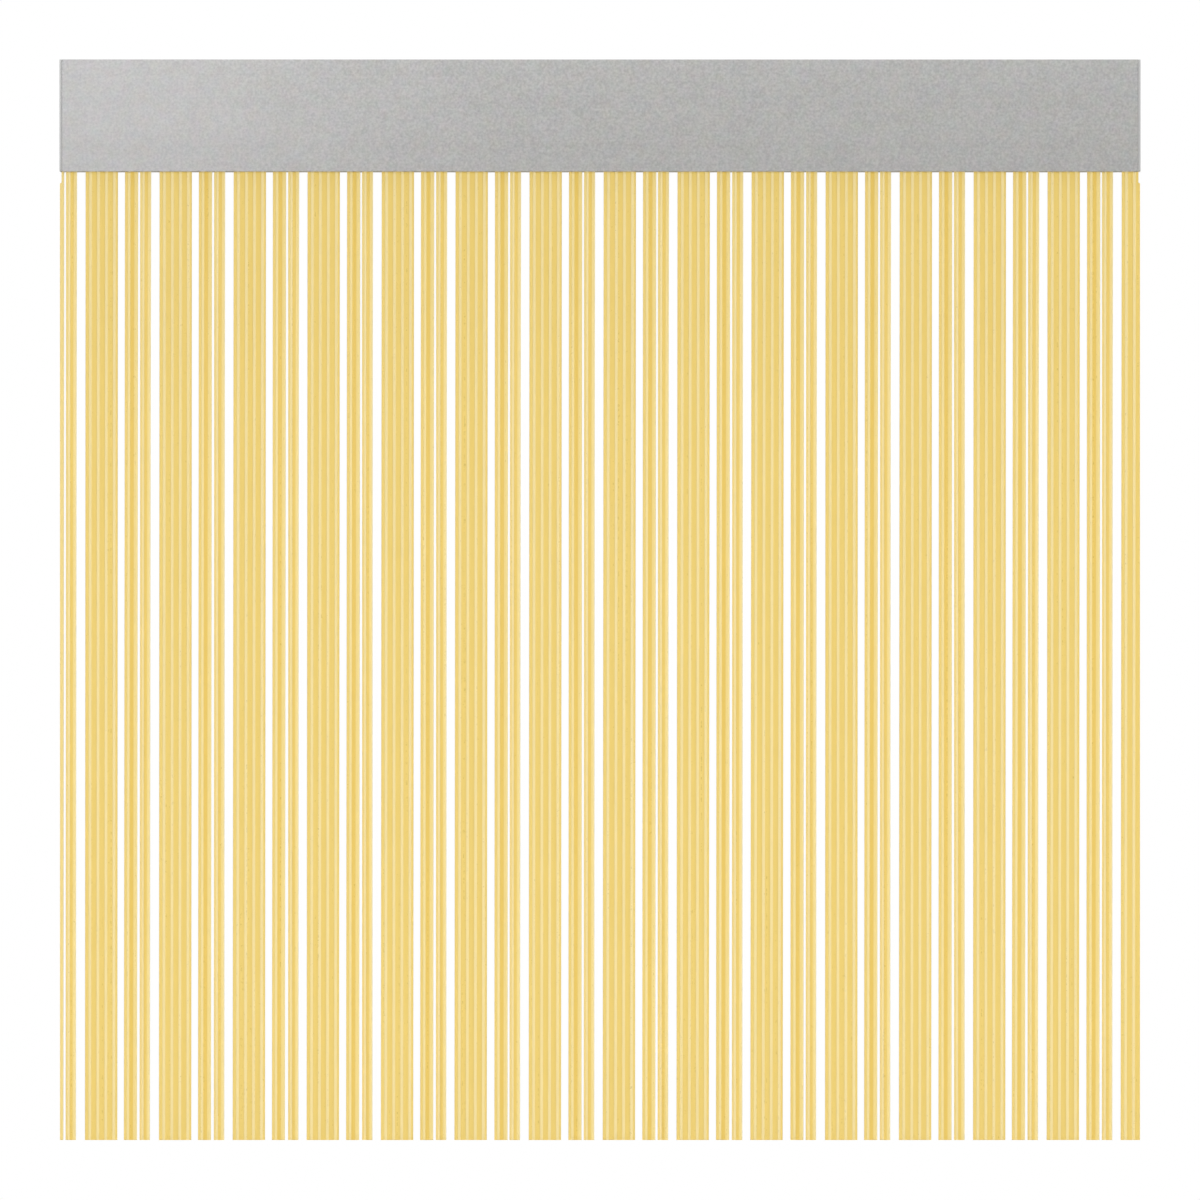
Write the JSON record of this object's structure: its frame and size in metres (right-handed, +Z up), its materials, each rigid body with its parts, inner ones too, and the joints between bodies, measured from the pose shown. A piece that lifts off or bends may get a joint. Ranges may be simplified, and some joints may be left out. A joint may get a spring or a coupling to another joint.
{
  "type": "pvc door curtain",
  "caption": "Ribbon door curtain: ribbed translucent PVC strips that swing on a rod inside an aluminium head rail screwed above a doorway.",
  "frame": {"origin": "middle of the wall rail's back face, which lies against the lintel", "axes": "+Z up; +Y into the wall, square to the rail's back face; +X to the right along the rail for someone facing the curtain, so the front faces -Y"},
  "size_m": [0.9, 0.04, 0.8999],
  "materials": {
    "aluminium": "satin anodised, finely blasted",
    "grey_plastic": "moulded, fine satin, matched to the rail",
    "nylon": "natural white moulded nylon",
    "steel": "bright zinc plated",
    "amber_pvc": "translucent amber, extruded with ribs"
  },
  "bodies": {
    "rail": {"wall_rail": "aluminium", "fascia": "aluminium", "end_cap_left": "grey_plastic", "end_cap_right": "grey_plastic", "cap_screw_left_upper": "steel", "cap_screw_left_lower": "steel", "cap_screw_right_upper": "steel", "cap_screw_right_lower": "steel", "hanging_rod": "steel", "spacer_comb": "nylon", "rod_bracket_1": "nylon", "rod_bracket_2": "nylon", "rod_bracket_3": "nylon", "rod_bracket_4": "nylon"},
    "narrow_ribbon_01": {"narrow_ribbon_01": "amber_pvc"},
    "narrow_ribbon_02": {"narrow_ribbon_02": "amber_pvc"},
    "narrow_ribbon_03": {"narrow_ribbon_03": "amber_pvc"},
    "narrow_ribbon_04": {"narrow_ribbon_04": "amber_pvc"},
    "narrow_ribbon_05": {"narrow_ribbon_05": "amber_pvc"},
    "narrow_ribbon_06": {"narrow_ribbon_06": "amber_pvc"},
    "narrow_ribbon_07": {"narrow_ribbon_07": "amber_pvc"},
    "narrow_ribbon_08": {"narrow_ribbon_08": "amber_pvc"},
    "narrow_ribbon_09": {"narrow_ribbon_09": "amber_pvc"},
    "narrow_ribbon_10": {"narrow_ribbon_10": "amber_pvc"},
    "narrow_ribbon_11": {"narrow_ribbon_11": "amber_pvc"},
    "narrow_ribbon_12": {"narrow_ribbon_12": "amber_pvc"},
    "narrow_ribbon_13": {"narrow_ribbon_13": "amber_pvc"},
    "narrow_ribbon_14": {"narrow_ribbon_14": "amber_pvc"},
    "narrow_ribbon_15": {"narrow_ribbon_15": "amber_pvc"},
    "narrow_ribbon_16": {"narrow_ribbon_16": "amber_pvc"},
    "narrow_ribbon_17": {"narrow_ribbon_17": "amber_pvc"},
    "narrow_ribbon_18": {"narrow_ribbon_18": "amber_pvc"},
    "narrow_ribbon_19": {"narrow_ribbon_19": "amber_pvc"},
    "narrow_ribbon_20": {"narrow_ribbon_20": "amber_pvc"},
    "narrow_ribbon_21": {"narrow_ribbon_21": "amber_pvc"},
    "narrow_ribbon_22": {"narrow_ribbon_22": "amber_pvc"},
    "narrow_ribbon_23": {"narrow_ribbon_23": "amber_pvc"},
    "narrow_ribbon_24": {"narrow_ribbon_24": "amber_pvc"},
    "narrow_ribbon_25": {"narrow_ribbon_25": "amber_pvc"},
    "narrow_ribbon_26": {"narrow_ribbon_26": "amber_pvc"},
    "narrow_ribbon_27": {"narrow_ribbon_27": "amber_pvc"},
    "narrow_ribbon_28": {"narrow_ribbon_28": "amber_pvc"},
    "narrow_ribbon_29": {"narrow_ribbon_29": "amber_pvc"},
    "narrow_ribbon_30": {"narrow_ribbon_30": "amber_pvc"},
    "wide_ribbon_01": {"wide_ribbon_01": "amber_pvc"},
    "wide_ribbon_02": {"wide_ribbon_02": "amber_pvc"},
    "wide_ribbon_03": {"wide_ribbon_03": "amber_pvc"},
    "wide_ribbon_04": {"wide_ribbon_04": "amber_pvc"},
    "wide_ribbon_05": {"wide_ribbon_05": "amber_pvc"},
    "wide_ribbon_06": {"wide_ribbon_06": "amber_pvc"},
    "wide_ribbon_07": {"wide_ribbon_07": "amber_pvc"},
    "wide_ribbon_08": {"wide_ribbon_08": "amber_pvc"},
    "wide_ribbon_09": {"wide_ribbon_09": "amber_pvc"},
    "wide_ribbon_10": {"wide_ribbon_10": "amber_pvc"},
    "wide_ribbon_11": {"wide_ribbon_11": "amber_pvc"},
    "wide_ribbon_12": {"wide_ribbon_12": "amber_pvc"},
    "wide_ribbon_13": {"wide_ribbon_13": "amber_pvc"},
    "wide_ribbon_14": {"wide_ribbon_14": "amber_pvc"},
    "wide_ribbon_15": {"wide_ribbon_15": "amber_pvc"}
  },
  "joints": [
    {"name": "narrow_ribbon_01_swing", "type": "hinge", "parent": "rail", "child": "narrow_ribbon_01", "pos_m": [-0.44835, -0.02025, -0.04015], "axis": [1, 0, 0], "range_deg": [-60, 60]},
    {"name": "narrow_ribbon_02_swing", "type": "hinge", "parent": "rail", "child": "narrow_ribbon_02", "pos_m": [-0.44025, -0.02025, -0.04015], "axis": [1, 0, 0], "range_deg": [-60, 60]},
    {"name": "narrow_ribbon_03_swing", "type": "hinge", "parent": "rail", "child": "narrow_ribbon_03", "pos_m": [-0.39058, -0.02025, -0.04015], "axis": [1, 0, 0], "range_deg": [-60, 60]},
    {"name": "narrow_ribbon_04_swing", "type": "hinge", "parent": "rail", "child": "narrow_ribbon_04", "pos_m": [-0.37858, -0.02025, -0.04015], "axis": [1, 0, 0], "range_deg": [-60, 60]},
    {"name": "narrow_ribbon_05_swing", "type": "hinge", "parent": "rail", "child": "narrow_ribbon_05", "pos_m": [-0.32891, -0.02025, -0.04015], "axis": [1, 0, 0], "range_deg": [-60, 60]},
    {"name": "narrow_ribbon_06_swing", "type": "hinge", "parent": "rail", "child": "narrow_ribbon_06", "pos_m": [-0.31691, -0.02025, -0.04015], "axis": [1, 0, 0], "range_deg": [-60, 60]},
    {"name": "narrow_ribbon_07_swing", "type": "hinge", "parent": "rail", "child": "narrow_ribbon_07", "pos_m": [-0.26724, -0.02025, -0.04015], "axis": [1, 0, 0], "range_deg": [-60, 60]},
    {"name": "narrow_ribbon_08_swing", "type": "hinge", "parent": "rail", "child": "narrow_ribbon_08", "pos_m": [-0.25524, -0.02025, -0.04015], "axis": [1, 0, 0], "range_deg": [-60, 60]},
    {"name": "narrow_ribbon_09_swing", "type": "hinge", "parent": "rail", "child": "narrow_ribbon_09", "pos_m": [-0.20557, -0.02025, -0.04015], "axis": [1, 0, 0], "range_deg": [-60, 60]},
    {"name": "narrow_ribbon_10_swing", "type": "hinge", "parent": "rail", "child": "narrow_ribbon_10", "pos_m": [-0.19357, -0.02025, -0.04015], "axis": [1, 0, 0], "range_deg": [-60, 60]},
    {"name": "narrow_ribbon_11_swing", "type": "hinge", "parent": "rail", "child": "narrow_ribbon_11", "pos_m": [-0.1439, -0.02025, -0.04015], "axis": [1, 0, 0], "range_deg": [-60, 60]},
    {"name": "narrow_ribbon_12_swing", "type": "hinge", "parent": "rail", "child": "narrow_ribbon_12", "pos_m": [-0.1319, -0.02025, -0.04015], "axis": [1, 0, 0], "range_deg": [-60, 60]},
    {"name": "narrow_ribbon_13_swing", "type": "hinge", "parent": "rail", "child": "narrow_ribbon_13", "pos_m": [-0.08223, -0.02025, -0.04015], "axis": [1, 0, 0], "range_deg": [-60, 60]},
    {"name": "narrow_ribbon_14_swing", "type": "hinge", "parent": "rail", "child": "narrow_ribbon_14", "pos_m": [-0.07023, -0.02025, -0.04015], "axis": [1, 0, 0], "range_deg": [-60, 60]},
    {"name": "narrow_ribbon_15_swing", "type": "hinge", "parent": "rail", "child": "narrow_ribbon_15", "pos_m": [-0.02056, -0.02025, -0.04015], "axis": [1, 0, 0], "range_deg": [-60, 60]},
    {"name": "narrow_ribbon_16_swing", "type": "hinge", "parent": "rail", "child": "narrow_ribbon_16", "pos_m": [-0.00856, -0.02025, -0.04015], "axis": [1, 0, 0], "range_deg": [-60, 60]},
    {"name": "narrow_ribbon_17_swing", "type": "hinge", "parent": "rail", "child": "narrow_ribbon_17", "pos_m": [0.04111, -0.02025, -0.04015], "axis": [1, 0, 0], "range_deg": [-60, 60]},
    {"name": "narrow_ribbon_18_swing", "type": "hinge", "parent": "rail", "child": "narrow_ribbon_18", "pos_m": [0.05311, -0.02025, -0.04015], "axis": [1, 0, 0], "range_deg": [-60, 60]},
    {"name": "narrow_ribbon_19_swing", "type": "hinge", "parent": "rail", "child": "narrow_ribbon_19", "pos_m": [0.10278, -0.02025, -0.04015], "axis": [1, 0, 0], "range_deg": [-60, 60]},
    {"name": "narrow_ribbon_20_swing", "type": "hinge", "parent": "rail", "child": "narrow_ribbon_20", "pos_m": [0.11478, -0.02025, -0.04015], "axis": [1, 0, 0], "range_deg": [-60, 60]},
    {"name": "narrow_ribbon_21_swing", "type": "hinge", "parent": "rail", "child": "narrow_ribbon_21", "pos_m": [0.16445, -0.02025, -0.04015], "axis": [1, 0, 0], "range_deg": [-60, 60]},
    {"name": "narrow_ribbon_22_swing", "type": "hinge", "parent": "rail", "child": "narrow_ribbon_22", "pos_m": [0.17645, -0.02025, -0.04015], "axis": [1, 0, 0], "range_deg": [-60, 60]},
    {"name": "narrow_ribbon_23_swing", "type": "hinge", "parent": "rail", "child": "narrow_ribbon_23", "pos_m": [0.22612, -0.02025, -0.04015], "axis": [1, 0, 0], "range_deg": [-60, 60]},
    {"name": "narrow_ribbon_24_swing", "type": "hinge", "parent": "rail", "child": "narrow_ribbon_24", "pos_m": [0.23812, -0.02025, -0.04015], "axis": [1, 0, 0], "range_deg": [-60, 60]},
    {"name": "narrow_ribbon_25_swing", "type": "hinge", "parent": "rail", "child": "narrow_ribbon_25", "pos_m": [0.28779, -0.02025, -0.04015], "axis": [1, 0, 0], "range_deg": [-60, 60]},
    {"name": "narrow_ribbon_26_swing", "type": "hinge", "parent": "rail", "child": "narrow_ribbon_26", "pos_m": [0.29979, -0.02025, -0.04015], "axis": [1, 0, 0], "range_deg": [-60, 60]},
    {"name": "narrow_ribbon_27_swing", "type": "hinge", "parent": "rail", "child": "narrow_ribbon_27", "pos_m": [0.34946, -0.02025, -0.04015], "axis": [1, 0, 0], "range_deg": [-60, 60]},
    {"name": "narrow_ribbon_28_swing", "type": "hinge", "parent": "rail", "child": "narrow_ribbon_28", "pos_m": [0.36146, -0.02025, -0.04015], "axis": [1, 0, 0], "range_deg": [-60, 60]},
    {"name": "narrow_ribbon_29_swing", "type": "hinge", "parent": "rail", "child": "narrow_ribbon_29", "pos_m": [0.41113, -0.02025, -0.04015], "axis": [1, 0, 0], "range_deg": [-60, 60]},
    {"name": "narrow_ribbon_30_swing", "type": "hinge", "parent": "rail", "child": "narrow_ribbon_30", "pos_m": [0.42313, -0.02025, -0.04015], "axis": [1, 0, 0], "range_deg": [-60, 60]},
    {"name": "wide_ribbon_01_swing", "type": "hinge", "parent": "rail", "child": "wide_ribbon_01", "pos_m": [-0.41543, -0.02025, -0.04015], "axis": [1, 0, 0], "range_deg": [-60, 60]},
    {"name": "wide_ribbon_02_swing", "type": "hinge", "parent": "rail", "child": "wide_ribbon_02", "pos_m": [-0.35376, -0.02025, -0.04015], "axis": [1, 0, 0], "range_deg": [-60, 60]},
    {"name": "wide_ribbon_03_swing", "type": "hinge", "parent": "rail", "child": "wide_ribbon_03", "pos_m": [-0.29209, -0.02025, -0.04015], "axis": [1, 0, 0], "range_deg": [-60, 60]},
    {"name": "wide_ribbon_04_swing", "type": "hinge", "parent": "rail", "child": "wide_ribbon_04", "pos_m": [-0.23042, -0.02025, -0.04015], "axis": [1, 0, 0], "range_deg": [-60, 60]},
    {"name": "wide_ribbon_05_swing", "type": "hinge", "parent": "rail", "child": "wide_ribbon_05", "pos_m": [-0.16875, -0.02025, -0.04015], "axis": [1, 0, 0], "range_deg": [-60, 60]},
    {"name": "wide_ribbon_06_swing", "type": "hinge", "parent": "rail", "child": "wide_ribbon_06", "pos_m": [-0.10708, -0.02025, -0.04015], "axis": [1, 0, 0], "range_deg": [-60, 60]},
    {"name": "wide_ribbon_07_swing", "type": "hinge", "parent": "rail", "child": "wide_ribbon_07", "pos_m": [-0.04541, -0.02025, -0.04015], "axis": [1, 0, 0], "range_deg": [-60, 60]},
    {"name": "wide_ribbon_08_swing", "type": "hinge", "parent": "rail", "child": "wide_ribbon_08", "pos_m": [0.01626, -0.02025, -0.04015], "axis": [1, 0, 0], "range_deg": [-60, 60]},
    {"name": "wide_ribbon_09_swing", "type": "hinge", "parent": "rail", "child": "wide_ribbon_09", "pos_m": [0.07793, -0.02025, -0.04015], "axis": [1, 0, 0], "range_deg": [-60, 60]},
    {"name": "wide_ribbon_10_swing", "type": "hinge", "parent": "rail", "child": "wide_ribbon_10", "pos_m": [0.1396, -0.02025, -0.04015], "axis": [1, 0, 0], "range_deg": [-60, 60]},
    {"name": "wide_ribbon_11_swing", "type": "hinge", "parent": "rail", "child": "wide_ribbon_11", "pos_m": [0.20127, -0.02025, -0.04015], "axis": [1, 0, 0], "range_deg": [-60, 60]},
    {"name": "wide_ribbon_12_swing", "type": "hinge", "parent": "rail", "child": "wide_ribbon_12", "pos_m": [0.26294, -0.02025, -0.04015], "axis": [1, 0, 0], "range_deg": [-60, 60]},
    {"name": "wide_ribbon_13_swing", "type": "hinge", "parent": "rail", "child": "wide_ribbon_13", "pos_m": [0.32461, -0.02025, -0.04015], "axis": [1, 0, 0], "range_deg": [-60, 60]},
    {"name": "wide_ribbon_14_swing", "type": "hinge", "parent": "rail", "child": "wide_ribbon_14", "pos_m": [0.38628, -0.02025, -0.04015], "axis": [1, 0, 0], "range_deg": [-60, 60]},
    {"name": "wide_ribbon_15_swing", "type": "hinge", "parent": "rail", "child": "wide_ribbon_15", "pos_m": [0.44222, -0.02025, -0.04015], "axis": [1, 0, 0], "range_deg": [-60, 60]}
  ]
}
